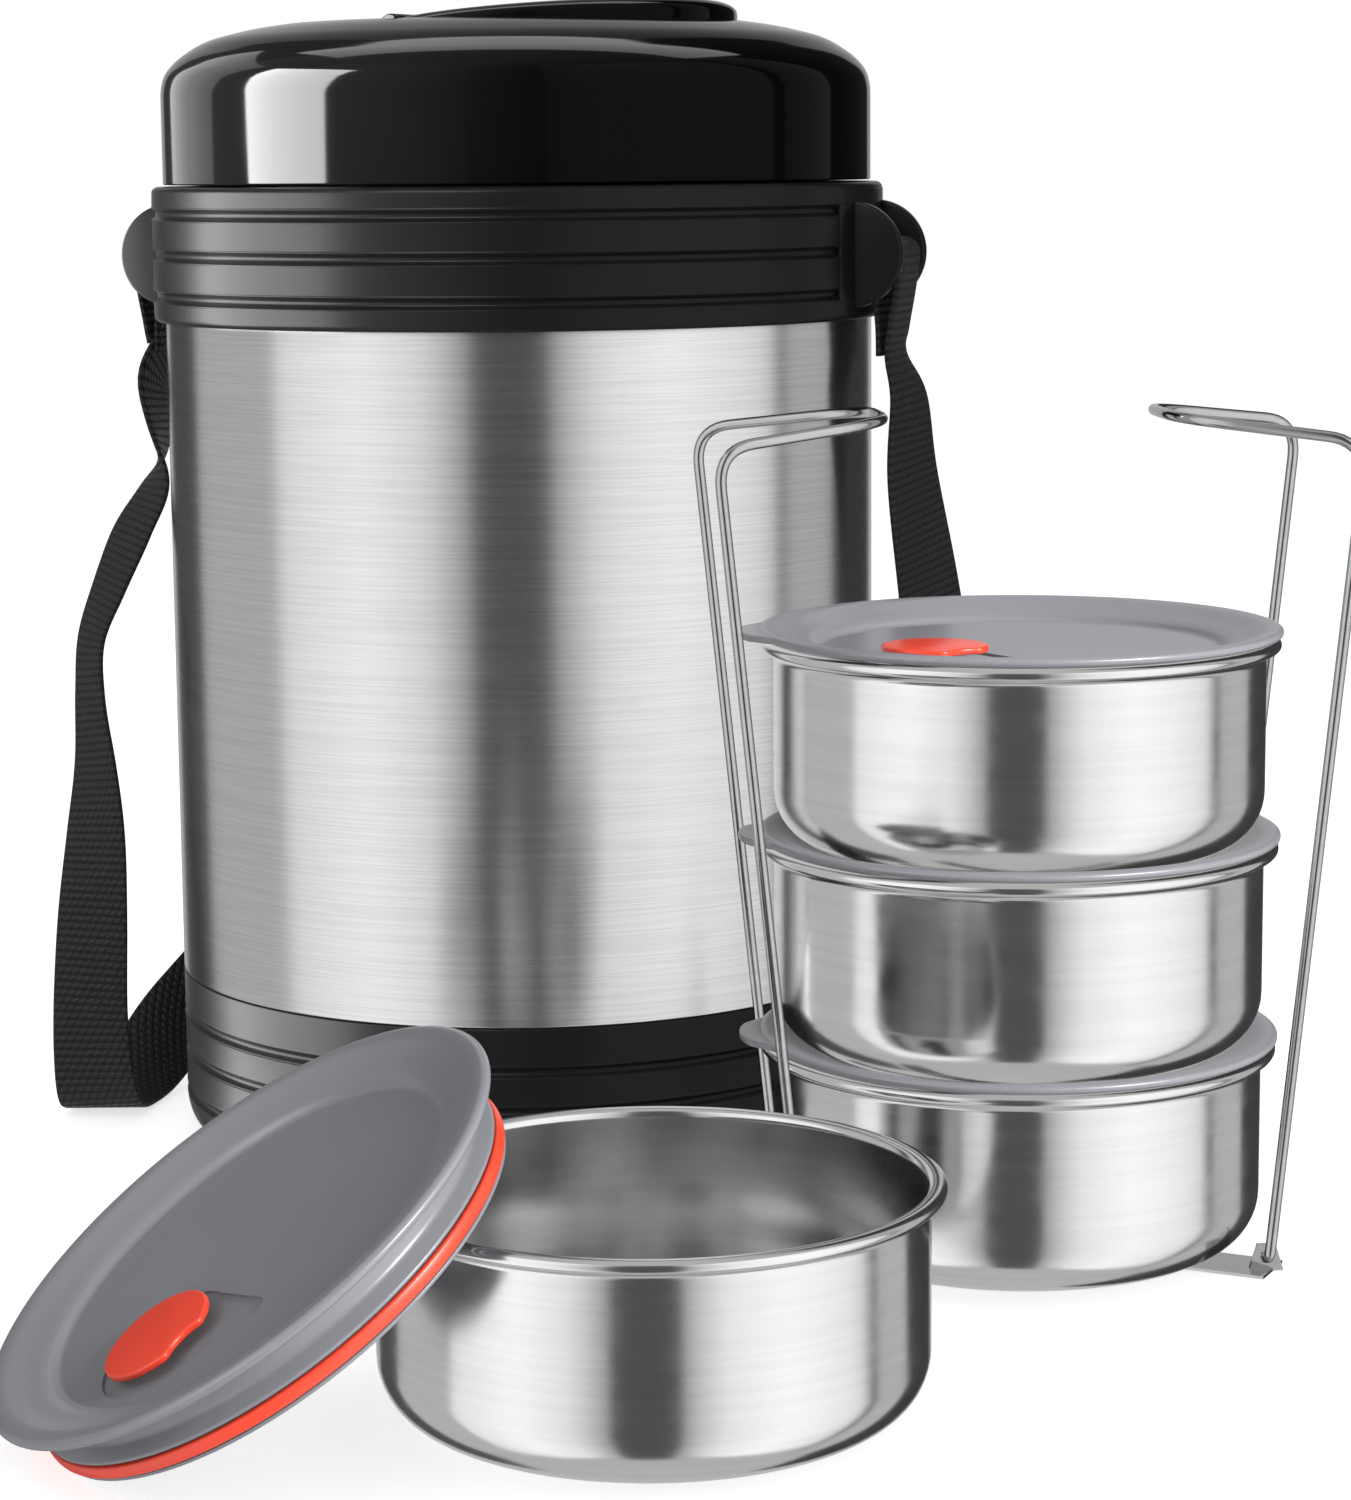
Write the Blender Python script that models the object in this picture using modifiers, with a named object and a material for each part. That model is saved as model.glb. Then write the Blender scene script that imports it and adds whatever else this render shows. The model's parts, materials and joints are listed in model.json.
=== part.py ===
"""Four-tier insulated tiffin carrier: closed jacket with its shoulder strap, the lifting rack with three
lidded tins, and the fourth tin open with its lid leaning on it.

Metres, +Z up. The origin is the centre of the jacket's underside, and the viewer stands on the -Y side.
Each round piece is drawn as half a section, radius and height, and turned about its own axis.
"""

import math

import bmesh
import bpy
from mathutils import Matrix, Vector

MM = 0.001
GAP = 0.3  # between pieces that touch

# Jacket
JACKET_TURNS = 36
SLEEVE_R = 82.5
BASE_TOP = 40.0
COLLAR_LOW = 192.4
COLLAR_TOP = 223.2
COLLAR_R = 85.1
NECK_R = 63.5
GROOVE = 1.0  # depth of the ribs' grooves
BASE_GROOVES = (30.0, 21.0, 11.0)
COLLAR_GROOVES = (217.0, 207.8, 198.4)

# Strap lugs, one on each side of the collar
LUG_ANGLE = -15.5
LUG_R = 12.0
LUG_AT = 82.5
LUG_Z = 207.0
LUG_THICK = 3.5
LUG_SPACE = 22.0
BAR_AT = 90.3
BAR_R = 1.9

# Jacket lid and its handle
CROWN_Z = 261.5
HANDLE_AXIS_Z = 257.6
HANDLE_AXIS_ANGLE = 240.0
HANDLE_IN = 39.0
HANDLE_OUT = 51.5
BOSS_R = 3.2
PIN_R = 1.3

# Rack, its axis and its turn
RACK_X = 107.4
RACK_Y = -111.4
RACK_YAW = 3.65
WIRE_R = 1.15
LEG_X = 48.0
LEG_Y = 31.0
PIVOT_Z = 3.2
LEG_TOP = 172.6
GRIP_REACH = 36.0
GRIP_HALF = 17.5
LEAN = 5.8
PLATE_Z = 0.1
PLATE_THICK = 0.6

# Tins and their lids
TURNS = 30
TIN_R = 51.2
TIN_WALL = 0.8
TIN_H = 43.7
RIM_R = 54.2
TIN_FILLET = 12.0
FIRST_TIN_Z = 1.0
PITCH = 42.6
FLANGE_R = 54.6
FLANGE = 2.1
TAB_R = 58.8
LID_FLOOR = -2.6
VALVE_AT = 25.4
VALVE_ANGLE = 219.0
VALVE_R = 11.0
VALVE_HINGE_ANGLE = 120.0
VALVE_HINGE_Z = -2.3
BARREL_R = 1.0
BITE_R = 6.6
POCKET_ANGLE = 333.0

# Fourth tin, and its lid leaning on the rim
OPEN_TIN_X = 30.8
OPEN_TIN_Y = -218.9
LEAN_X = -43.65
LEAN_Y = -235.28
LEAN_Z = 39.37
LEAN_TILT = 35.0
LEAN_DOWNHILL = 200.24
LEAN_TAB = -12.0

# Shoulder strap
STRAP_WIDE = 20.0
STRAP_THICK = 1.4

FINISH = {
    "steel": ((0.62, 0.62, 0.61, 1), 1.0, 0.28),
    "black": ((0.018, 0.018, 0.019, 1), 0.0, 0.38),
    "gloss": ((0.01, 0.01, 0.011, 1), 0.0, 0.12),
    "foam": ((0.78, 0.7, 0.45, 1), 0.0, 0.9),
    "silicone": ((0.75, 0.74, 0.72, 1), 0.0, 0.6),
    "grey": ((0.18, 0.185, 0.2, 1), 0.0, 0.42),
    "red": ((0.78, 0.06, 0.03, 1), 0.0, 0.4),
    "webbing": ((0.012, 0.012, 0.012, 1), 0.0, 0.85),
}


def clear_scene():
    for obj in list(bpy.data.objects):
        bpy.data.objects.remove(obj, do_unlink=True)


def collection(name):
    group = bpy.data.collections.new(name)
    bpy.context.scene.collection.children.link(group)
    return group


def finish(obj, look):
    """One Principled BSDF for each piece."""
    material = bpy.data.materials.new(obj.name)
    material.use_nodes = True
    shader = material.node_tree.nodes["Principled BSDF"]
    colour, metallic, roughness = FINISH[look]
    shader.inputs["Base Color"].default_value = colour
    shader.inputs["Metallic"].default_value = metallic
    shader.inputs["Roughness"].default_value = roughness
    material.diffuse_color = colour
    obj.data.materials.clear()
    obj.data.materials.append(material)


def show(name, data):
    """A new object in the collection of parts."""
    obj = bpy.data.objects.new(name, data)
    PARTS.objects.link(obj)
    return obj


def signed_area(points):
    pairs = zip(points, points[1:] + points[:1])
    return sum(a[0] * b[1] - b[0] * a[1] for a, b in pairs) / 2


def revolve(name, section, turns):
    """A closed body turned about Z from half its section. A section that starts and ends at radius 0 is
    closed by the axis, and any other is closed by joining its ends."""
    if signed_area(section) > 0:
        section = section[::-1]
    on_axis = section[0][0] == 0 and section[-1][0] == 0
    count = len(section)
    edges = [(i, i + 1) for i in range(count - 1)]
    if not on_axis:
        edges.append((count - 1, 0))
    mesh = bpy.data.meshes.new(name)
    mesh.from_pydata([(r * MM, 0, z * MM) for r, z in section], edges, [])
    obj = show(name, mesh)
    screw = obj.modifiers.new("turn", "SCREW")
    screw.axis = "Z"
    screw.angle = 2 * math.pi
    screw.steps = turns
    screw.render_steps = turns
    screw.use_merge_vertices = True
    screw.merge_threshold = 0.00001
    return obj


def to_mesh(curve):
    """The mesh that a curve object makes, with its caps welded, in place of the curve."""
    bpy.context.view_layer.update()
    graph = bpy.context.evaluated_depsgraph_get()
    mesh = bpy.data.meshes.new_from_object(curve.evaluated_get(graph))
    work = bmesh.new()
    work.from_mesh(mesh)
    bmesh.ops.remove_doubles(work, verts=work.verts, dist=0.000001)
    bmesh.ops.recalc_face_normals(work, faces=work.faces)
    work.to_mesh(mesh)
    work.free()
    name = curve.name
    place = curve.matrix_world.copy()
    bpy.data.objects.remove(curve, do_unlink=True)
    mesh.name = name
    obj = show(name, mesh)
    obj.matrix_world = place
    return obj


def plate(name, outline, low, high):
    """A flat outline in X and Y, as thick as from one height to another."""
    curve = bpy.data.curves.new(name, "CURVE")
    curve.dimensions = "2D"
    curve.fill_mode = "BOTH"
    curve.extrude = (high - low) / 2 * MM
    spline = curve.splines.new("POLY")
    spline.points.add(len(outline) - 1)
    for point, (x, y) in zip(spline.points, outline):
        point.co = (x * MM, y * MM, 0, 1)
    spline.use_cyclic_u = True
    obj = to_mesh(show(name, curve))
    obj.data.transform(Matrix.Translation((0, 0, (low + high) / 2 * MM)))
    return obj


def wire(name, points, radius):
    """A round wire along points."""
    curve = bpy.data.curves.new(name, "CURVE")
    curve.dimensions = "3D"
    curve.bevel_depth = radius * MM
    curve.bevel_resolution = 2
    curve.use_fill_caps = True
    spline = curve.splines.new("POLY")
    spline.points.add(len(points) - 1)
    for point, at in zip(spline.points, points):
        point.co = (*(at * MM), 1)
    return to_mesh(show(name, curve))


def rod(name, start, end, radius, sides=16):
    """A round bar between two points."""
    start, end = Vector(start) * MM, Vector(end) * MM
    along = end - start
    turn = along.to_track_quat("Z", "Y").to_matrix().to_4x4()
    place = Matrix.Translation((start + end) / 2) @ turn
    work = bmesh.new()
    bmesh.ops.create_cone(
        work,
        cap_ends=True,
        segments=sides,
        radius1=radius * MM,
        radius2=radius * MM,
        depth=along.length,
        matrix=place,
    )
    mesh = bpy.data.meshes.new(name)
    work.to_mesh(mesh)
    work.free()
    return show(name, mesh)


def loft(name, rings):
    """A body through rings of as many points each, capped at both ends."""
    count = len(rings[0])
    points = [p * MM for ring in rings for p in ring]
    last = count * (len(rings) - 1)
    faces = [list(range(count)), list(range(last, last + count))[::-1]]
    for n in range(len(rings) - 1):
        here, there = n * count, (n + 1) * count
        for i in range(count):
            k = (i + 1) % count
            faces.append([here + i, here + k, there + k, there + i])
    mesh = bpy.data.meshes.new(name)
    mesh.from_pydata(points, [], faces)
    work = bmesh.new()
    work.from_mesh(mesh)
    bmesh.ops.recalc_face_normals(work, faces=work.faces)
    work.to_mesh(mesh)
    work.free()
    return show(name, mesh)


def ribbon(name, path, wide, thick):
    """A band along (point, width direction) pairs: an open strip with Solidify."""
    points = []
    for n, (centre, across) in enumerate(path):
        before = path[max(n - 1, 0)][0]
        after = path[min(n + 1, len(path) - 1)][0]
        along = (after - before).normalized()
        across = (across - along * across.dot(along)).normalized()
        points += [(centre + across * wide / 2) * MM, (centre - across * wide / 2) * MM]
    faces = [(2 * n, 2 * n + 1, 2 * n + 3, 2 * n + 2) for n in range(len(path) - 1)]
    mesh = bpy.data.meshes.new(name)
    mesh.from_pydata(points, [], faces)
    obj = show(name, mesh)
    solidify = obj.modifiers.new("thickness", "SOLIDIFY")
    solidify.thickness = thick * MM
    solidify.offset = 0
    return obj


def rounded(corners, radii, steps=4):
    """A path through corners, each turned on an arc that leaves both legs at its given distance."""
    path = [Vector(corners[0])]
    for n in range(1, len(corners) - 1):
        at, back, on = Vector(corners[n]), Vector(corners[n - 1]), Vector(corners[n + 1])
        first = at + (back - at).normalized() * radii[n - 1]
        last = at + (on - at).normalized() * radii[n - 1]
        for k in range(steps + 1):
            t = k / steps
            path.append((1 - t) ** 2 * first + 2 * t * (1 - t) * at + t * t * last)
    path.append(Vector(corners[-1]))
    return path


def bake(obj):
    """Applies an object's modifiers."""
    bpy.context.view_layer.update()
    graph = bpy.context.evaluated_depsgraph_get()
    mesh = bpy.data.meshes.new_from_object(obj.evaluated_get(graph))
    obj.modifiers.clear()
    obj.data = mesh


def combine(obj, others, operation):
    for other in others:
        other.hide_render = True
        other.display_type = "WIRE"
        PARTS.objects.unlink(other)
        CUTTERS.objects.link(other)
        boolean = obj.modifiers.new(operation.lower(), "BOOLEAN")
        boolean.operation = operation
        boolean.solver = "EXACT"
        boolean.object = other
    bake(obj)
    for other in others:
        bpy.data.objects.remove(other, do_unlink=True)


def join(obj, *others):
    combine(obj, others, "UNION")


def cut(obj, *others):
    combine(obj, others, "DIFFERENCE")


def place(name, location, rotation=None, parent=None):
    """An empty that carries the pieces of one group."""
    empty = bpy.data.objects.new(name, None)
    PARTS.objects.link(empty)
    empty.location = Vector(location) * MM
    if rotation is not None:
        empty.rotation_euler = rotation.to_euler()
    empty.parent = parent
    empty.empty_display_size = 0.02
    bpy.context.view_layer.update()
    return empty


def put(obj, look, parent=None, location=(0, 0, 0), smooth=True):
    """Applies a piece's modifiers, hangs it on its group and gives it its finish."""
    bake(obj)
    obj.parent = parent
    obj.location = Vector(location) * MM
    if smooth:
        obj.data.shade_smooth()
        obj.data.set_sharp_from_angle(angle=math.radians(35))
    finish(obj, look)
    return obj


def recentre(obj, point):
    """Makes a point the piece's own origin, so that it turns about its joint."""
    bake(obj)
    obj.data.transform(Matrix.Translation(-Vector(point) * MM))


def polar(radius, degrees, z=0.0):
    turn = math.radians(degrees)
    return Vector((radius * math.cos(turn), radius * math.sin(turn), z))


def grooved(radius, heights):
    """The steps of a wall at one radius that has a shallow groove at each height, from the top down."""
    steps = []
    for z in heights:
        steps += [(radius, z + 1.1), (radius - GROOVE, z + 0.5)]
        steps += [(radius - GROOVE, z - 0.5), (radius, z - 1.1)]
    return steps


def sector(name, inner, outer, low, high, middle, half, steps):
    """Part of a ring, seen from above, between two angles."""
    turn = [middle - half + 2 * half * k / steps for k in range(steps + 1)]
    outline = [polar(outer, a)[:2] for a in turn] + [polar(inner, a)[:2] for a in reversed(turn)]
    return plate(name, outline, low, high)


def build_jacket():
    foot = [(0, 0), (74.8, 0), (79.2, 1.8), (81.6, 4.6), (SLEEVE_R, 8.2)]
    wall = grooved(SLEEVE_R, BASE_GROOVES)[::-1] + [(SLEEVE_R, BASE_TOP)]
    inside = [(79.2, BASE_TOP), (79.2, 7.2), (76.2, 4.0), (0, 4.0)]
    put(revolve("base_cup", foot + wall + inside, JACKET_TURNS), "black")

    low, high = BASE_TOP + GAP, 205.0
    sleeve = [(SLEEVE_R, high), (SLEEVE_R, low), (81.7, low), (81.7, high)]
    put(revolve("outer_sleeve", sleeve, JACKET_TURNS), "steel")

    shell = [(84.2, COLLAR_TOP), (COLLAR_R, COLLAR_TOP - 0.9)] + grooved(COLLAR_R, COLLAR_GROOVES)
    shell += [(COLLAR_R, 193.2), (84.4, COLLAR_LOW), (82.8, COLLAR_LOW), (82.8, 219.5)]
    shell += [(64.7, 219.5), (64.7, COLLAR_TOP)]
    collar = revolve("collar", shell, JACKET_TURNS)
    for side in (0, 180):
        at = LUG_ANGLE + side
        pad = sector("pad", 82.9, COLLAR_R + 0.05, 193.6, 222.0, at, 15, 6)
        join(collar, pad)
        out = polar(1, at)
        along = polar(1, at + 90)
        for way in (-1, 1):
            near = along * way * LUG_SPACE / 2
            far = along * way * (LUG_SPACE / 2 + LUG_THICK)
            centre = out * LUG_AT + Vector((0, 0, LUG_Z))
            cheek = rod("cheek", centre + near, centre + far, LUG_R, 24)
            trim = revolve("trim", [(0, 240), (83.6, 240), (83.6, 180), (0, 180)], JACKET_TURNS)
            cut(cheek, trim)
            join(collar, cheek)
        middle = out * BAR_AT + Vector((0, 0, LUG_Z))
        cut(collar, rod("hole", middle - along * 16, middle + along * 16, BAR_R + GAP, 16))
        reach = along * (LUG_SPACE / 2 + LUG_THICK - 0.4)
        name = "strap_bar_right" if side == 0 else "strap_bar_left"
        put(rod(name, middle - reach, middle + reach, BAR_R, 16), "black")
    put(collar, "black")

    cup = [(0, 13.2), (60, 13.2), (64.3, 17.5), (64.3, 222.9), (NECK_R, 222.9), (NECK_R, 18)]
    cup += [(59.6, 14.0), (0, 14.0)]
    put(revolve("inner_liner", cup, JACKET_TURNS), "steel")

    foam = [(0, 4.4), (76, 4.4), (78.8, 7.4), (78.8, 40.7), (81.3, 41), (81.3, 219.1)]
    foam += [(64.7, 219.1), (64.7, 17.2), (60.2, 12.8), (0, 12.8)]
    put(revolve("foam_insulation", foam, JACKET_TURNS), "foam")


def build_jacket_lid():
    low = COLLAR_TOP + GAP
    crown = [(0, CROWN_Z), (20, 261.3), (36.4, 260.5), (37.0, 253.4), (53.0, 253.4), (53.5, 259.7)]
    crown += [(62, 258.5), (72.3, 256.1), (78.6, 251.8), (81.3, 248.9), (82.3, 245.5), (82.3, low)]
    crown += [(80.0, low), (80.0, 244.0), (76.0, 248.4), (70.0, 250.8), (0, 250.8)]
    shell = revolve("lid_shell", crown, JACKET_TURNS)
    for number, angle in enumerate((HANDLE_AXIS_ANGLE, HANDLE_AXIS_ANGLE + 180), 1):
        start, end = polar(34.9, angle, HANDLE_AXIS_Z), polar(55.3, angle, HANDLE_AXIS_Z)
        cut(shell, rod("hole", start, end, PIN_R + GAP, 12))
        start, end = polar(35.3, angle, HANDLE_AXIS_Z), polar(54.9, angle, HANDLE_AXIS_Z)
        put(rod(f"lid_handle_pin_{number}", start, end, PIN_R, 12), "steel")
    put(shell, "gloss")

    plug = [(0, 200.0), (60.4, 200.0), (62.3, 202.0), (62.3, 207.6), (61.3, 207.6), (61.3, 212.4)]
    plug += [(62.3, 212.4), (62.3, 223.8), (79.6, 223.8), (79.6, 225.8), (60.0, 225.8)]
    plug += [(60.0, 202.0), (0, 202.0)]
    put(revolve("lid_liner", plug, JACKET_TURNS), "black")

    foam = [(0, 202.4), (59.6, 202.4), (59.6, 226.2), (79.5, 226.2), (79.5, 243.6), (75.7, 248.0)]
    foam += [(69.8, 250.4), (0, 250.4)]
    put(revolve("lid_foam", foam, JACKET_TURNS), "foam")

    ring = [(61.7, 208.0), (63.2, 208.0), (63.2, 212.0), (61.7, 212.0)]
    put(revolve("lid_gasket", ring, JACKET_TURNS), "silicone")

    rings = []
    steps = 22
    for n in range(steps + 1):
        share = n / steps
        angle = HANDLE_AXIS_ANGLE + 180 * share
        arch = math.sin(math.pi * share) ** 0.7
        under, over = 255.0 + 3.2 * arch, 259.9 + 4.6 * arch
        ring = [polar(HANDLE_IN, angle, under), polar(HANDLE_OUT, angle, under)]
        ring += [polar(HANDLE_OUT, angle, over - 1.6), polar(HANDLE_OUT - 2.2, angle, over - 0.3)]
        ring += [polar((HANDLE_IN + HANDLE_OUT) / 2, angle, over)]
        ring += [polar(HANDLE_IN + 2.2, angle, over - 0.3), polar(HANDLE_IN, angle, over - 1.6)]
        rings.append(ring)
    handle = loft("lid_handle", rings)
    for angle in (HANDLE_AXIS_ANGLE, HANDLE_AXIS_ANGLE + 180):
        start = polar(HANDLE_IN - 0.4, angle, HANDLE_AXIS_Z)
        end = polar(HANDLE_OUT + 0.4, angle, HANDLE_AXIS_Z)
        join(handle, rod("boss", start, end, BOSS_R, 20))
        start = polar(HANDLE_IN - 3, angle, HANDLE_AXIS_Z)
        end = polar(HANDLE_OUT + 3, angle, HANDLE_AXIS_Z)
        cut(handle, rod("hole", start, end, PIN_R + GAP, 12))
    recentre(handle, (0, 0, HANDLE_AXIS_Z))
    put(handle, "gloss", location=(0, 0, HANDLE_AXIS_Z))


def tin(name, parent, location):
    """A tin with a rolled rim and a dished bottom, which clears the valve of the lid below it. Its origin is
    at the centre of its underside."""
    outer, inner = [], []
    hollow = TIN_FILLET - TIN_WALL
    for k in range(5):
        turn = math.radians(90 * k / 4)
        outer.append((TIN_R - TIN_FILLET * (1 - math.sin(turn)), TIN_FILLET * (1 - math.cos(turn))))
        radius = TIN_R - TIN_WALL - hollow * (1 - math.sin(turn))
        inner.append((radius, TIN_FILLET - hollow * math.cos(turn)))
    rim = [(TIN_R, 40.4), (52.6, 41.4), (RIM_R, 41.6), (RIM_R, 42.9), (53.2, TIN_H), (51.0, TIN_H)]
    rim += [(TIN_R - TIN_WALL, 43.0)]
    foot = [(0, 2.0), (36.9, 2.0), (38.2, 0)]
    floor = [(38.7, TIN_WALL), (37.4, 2.8), (0, 2.8)]
    section = foot + outer + rim + inner[::-1] + floor
    put(revolve(name, section, TURNS), "steel", parent, location)


def pocket_outline(centre):
    """A round pocket drawn out to one side for a fingertip."""
    tip = polar(20.0, POCKET_ANGLE)
    round_part = []
    for step in range(56, 305, 20):
        round_part.append(polar(13.4, POCKET_ANGLE + step))
    ends = [tip + polar(2.6, POCKET_ANGLE - 60)], [tip + polar(2.6, POCKET_ANGLE + 60)]
    return [(centre + p)[:2] for p in ends[1] + round_part + ends[0]]


def valve_outline(centre, toward_hinge):
    """A round plate with a bite for a finger, opposite its hinge."""
    bite = -toward_hinge * (VALVE_R + 4.2)
    outline = []
    for angle in range(0, 360, 12):
        point = polar(VALVE_R, angle)
        if (point - bite).length < BITE_R:
            point = bite + (point - bite).normalized() * BITE_R
        outline.append((centre + point)[:2])
    return outline


def lid(number, parent, location):
    """A tin's lid with its vent valve and seal. The lid's origin is on its axis, at the underside of the
    flange, and its thumb tab points along its own -X."""
    section = [(0, LID_FLOOR), (41.6, LID_FLOOR), (43.0, -1.3), (44.6, -0.6), (47.3, 0.3), (51.2, 1.9)]
    section += [(53.6, FLANGE), (FLANGE_R, 1.5), (FLANGE_R, 0.6), (53.8, 0), (48.4, 0)]
    section += [(46.9, -1.6), (46.9, -5.4), (49.6, -7.4), (49.6, -8.0), (48.2, -8.2)]
    section += [(48.2, -11.2), (49.3, -11.4), (49.3, -12.1), (46.3, -12.1), (45.7, -2.8)]
    section += [(43.4, -3.4), (41.4, -4.6), (0, -4.6)]
    body = revolve(f"lid_{number}", section, TURNS)
    outer = [polar(TAB_R - abs(a) / 8, 180 + a)[:2] for a in (8, 4, -4, -8)]
    inner = [polar(54.0, 180 + a)[:2] for a in (-15, -8, 0, 8, 15)]
    join(body, plate("tab", outer + inner, 0.3, 1.8))

    up = Vector((0, 0, 1))
    centre = polar(VALVE_AT, VALVE_ANGLE)
    toward_hinge = polar(1, VALVE_HINGE_ANGLE)
    along = polar(1, VALVE_HINGE_ANGLE - 90)
    hinge = centre + toward_hinge * (VALVE_R - 1.0) + up * VALVE_HINGE_Z
    cut(body, plate("pocket", pocket_outline(centre), LID_FLOOR - 0.6, LID_FLOOR + 3))
    cut(body, rod("groove", hinge - along * 5.4, hinge + along * 5.4, BARREL_R + GAP, 12))
    cut(body, rod("vent", centre - up * 12, centre - up, 2.2, 16))
    put(body, "grey", parent, location)

    name = f"valve_{number}"
    valve = plate(name, valve_outline(centre, toward_hinge), LID_FLOOR + 1.4, LID_FLOOR + 2.8)
    join(valve, rod("stub", centre - up * 3.9, centre - up * 0.6, 1.7, 12))
    join(valve, rod("barrel", hinge - along * 4.9, hinge + along * 4.9, BARREL_R, 12))
    corners = ((-0.7, -4.0), (0.7, -4.0), (0.7, 4.0), (-0.7, 4.0))
    web = [(hinge + toward_hinge * a + along * b)[:2] for a, b in corners]
    join(valve, plate("web", web, VALVE_HINGE_Z, LID_FLOOR + 2.0))
    recentre(valve, hinge)
    put(valve, "red", parent, Vector(location) + hinge)

    ring = [(48.5, -11.0), (50.1, -10.8), (50.1, -8.6), (48.5, -8.45)]
    put(revolve(f"gasket_{number}", ring, TURNS), "red", parent, location)


def build_rack_base(rack):
    tab_y = LEG_Y - 3.2
    arm = math.atan2(tab_y, LEG_X)
    low, high = PLATE_Z, PLATE_Z + PLATE_THICK
    strips = []
    for turn in (arm, -arm):
        out = Vector((math.cos(turn), math.sin(turn)))
        side = Vector((-math.sin(turn), math.cos(turn)))
        corners = ((-57, -6.5), (57, -6.5), (57, 6.5), (-57, 6.5))
        strips.append(plate("rack_base", [out * a + side * b for a, b in corners], low, high))
    base = strips[0]
    join(base, strips[1])
    base.name = "rack_base"
    upright = Matrix.Rotation(math.radians(90), 4, "X")
    for x in (-LEG_X, LEG_X):
        for y in (-tab_y, tab_y):
            outline = [(x - 3.6, low + 0.1), (x + 3.6, low + 0.1)]
            outline += [(x + 1.9, PIVOT_Z + 2.6), (x - 1.9, PIVOT_Z + 2.6)]
            tab = plate("tab", outline, -0.5, 0.5)
            tab.data.transform(Matrix.Translation((0, y * MM, 0)) @ upright)
            join(base, tab)
            cut(base, rod("hole", (x, y - 2, PIVOT_Z), (x, y + 2, PIVOT_Z), WIRE_R + GAP, 12))
    put(base, "steel", rack, smooth=False)


def build_loop(name, way, rack):
    """A wire loop, drawn upright with its origin on its pivot, then leaned out."""
    top = LEG_TOP - PIVOT_Z
    foot = LEG_Y - 5.2
    half = [(0, foot, 0), (0, LEG_Y, 0), (0, LEG_Y, top), (-GRIP_REACH, GRIP_HALF, top + 0.6)]
    corners = [(x, -y, z) for x, y, z in half] + half[::-1]
    path = rounded(corners, (2.4, 8, 12, 12, 8, 2.4))
    path = [Vector((way * p.x, p.y, p.z)) for p in path]
    loop = put(wire(name, path, WIRE_R), "steel", rack, (way * LEG_X, 0, PIVOT_Z))
    loop.rotation_euler.y = math.radians(way * LEAN)


def build_rack():
    turn = Matrix.Rotation(math.radians(RACK_YAW), 3, "Z")
    rack = place("rack", (RACK_X, RACK_Y, 0), turn)
    build_rack_base(rack)
    build_loop("rack_wire_left", -1, rack)
    build_loop("rack_wire_right", 1, rack)
    for number in (1, 2, 3):
        low = FIRST_TIN_Z + PITCH * (number - 1)
        tin(f"container_{number}", rack, (0, 0, low))
        lid(number, rack, (0, 0, low + TIN_H + GAP))


def build_open_tin():
    tin("container_4", None, (OPEN_TIN_X, OPEN_TIN_Y, 0.1))
    tilt = math.radians(LEAN_TILT)
    downhill = polar(math.cos(tilt), LEAN_DOWNHILL, -math.sin(tilt))
    up = polar(math.sin(tilt), LEAN_DOWNHILL, math.cos(tilt))
    across = up.cross(downhill)
    turn = math.radians(LEAN_TAB)
    x_axis = -downhill * math.cos(turn) - across * math.sin(turn)
    rotation = Matrix((x_axis, up.cross(x_axis), up)).transposed()
    middle = Vector((LEAN_X, LEAN_Y, LEAN_Z)) - up * FLANGE / 2
    lid(4, place("leaning_lid", middle, rotation), (0, 0, 0))


def strap_end(at, wide_at):
    """The end sewn round a lug's bar, from inside the loop outwards."""
    inside = ((88.2, 184), (88.1, 190), (87.5, 198), (87.3, 206), (88.0, 208.8), (90.3, 210.0))
    outside = ((92.6, 208.8), (93.3, 206), (92.2, 198), (90.8, 190), (90.2, 184))
    return [(polar(radius, at, z), polar(1, wide_at)) for radius, z in inside + outside]


def smooth_path(keys, steps):
    """Points and width directions along a Catmull-Rom path through every key."""
    out = []
    for n in range(len(keys) - 1):
        near = [keys[min(max(k, 0), len(keys) - 1)] for k in (n - 1, n, n + 1, n + 2)]
        for k in range(steps):
            t = k / steps
            mixed = []
            for p, q, r, s in zip(*near):
                bend = (r - p) * t + (2 * p - 5 * q + 4 * r - s) * t**2
                mixed.append((2 * q + bend + (3 * q - p - 3 * r + s) * t**3) / 2)
            out.append(mixed)
    out.append(keys[-1])
    return out


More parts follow.
